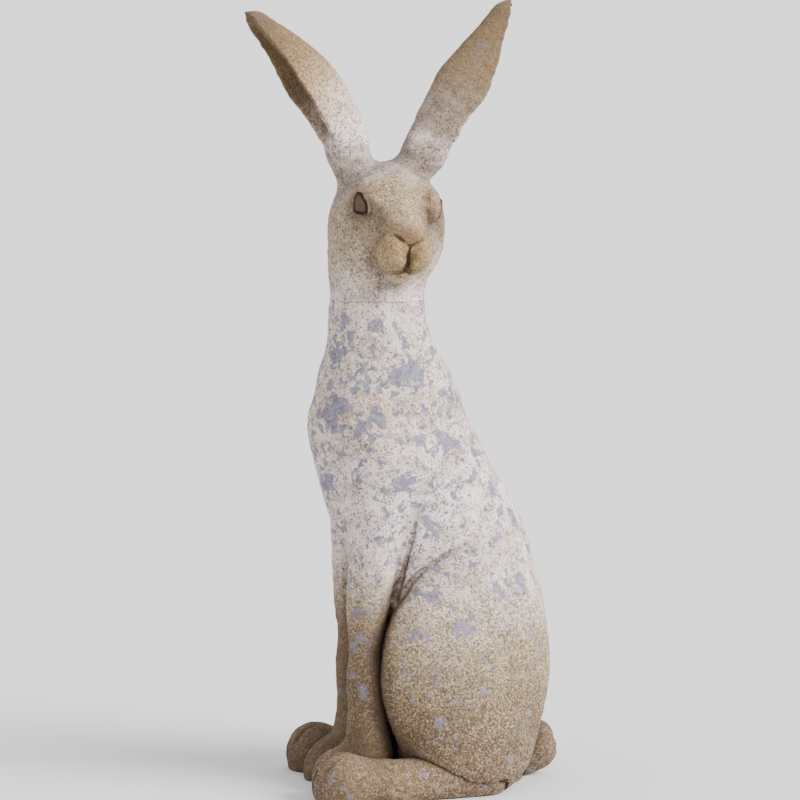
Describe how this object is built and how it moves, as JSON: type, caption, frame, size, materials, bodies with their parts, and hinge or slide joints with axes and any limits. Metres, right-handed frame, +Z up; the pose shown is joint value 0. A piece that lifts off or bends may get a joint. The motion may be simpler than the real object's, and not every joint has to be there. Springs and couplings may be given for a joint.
{
  "type": "garden animal statue",
  "caption": "Tall cast-stone garden hare sitting upright on its haunches, head turned over its left shoulder, ears spread, pinned together from separate castings.",
  "frame": {"origin": "middle of the bounding box, at the height of the floor that the statue stands on", "axes": "+Z up, -Y the way the body faces, +X the hare's left, which is also the way it looks"},
  "size_m": [0.201, 0.319, 0.7905],
  "materials": {
    "pale_stone": "rough cast stone under a worn pinkish-white wash with grey-blue flakes and ochre specks",
    "ochre_stone": "rough cast stone stained ochre and brown, with dirt in the creases",
    "painted_eye": "matt brown paint on a small oval bead",
    "mortar": "trowelled mortar",
    "steel": "plain round bar"
  },
  "bodies": {
    "root": {"body": "pale_stone", "head": "pale_stone", "base_plate": "mortar", "tail": "ochre_stone", "tail_pin": "steel", "neck_pin_front": "steel", "neck_pin_rear": "steel", "left_ear": "pale_stone", "left_eye": "painted_eye", "left_ear_pin": "steel", "left_foreleg": "ochre_stone", "left_foreleg_rod": "steel", "left_hind_foot": "ochre_stone", "left_foot_pin_1": "steel", "left_foot_pin_2": "steel", "right_ear": "pale_stone", "right_eye": "painted_eye", "right_ear_pin": "steel", "right_foreleg": "ochre_stone", "right_foreleg_rod": "steel", "right_hind_foot": "ochre_stone", "right_foot_pin_1": "steel", "right_foot_pin_2": "steel"}
  },
  "joints": []
}
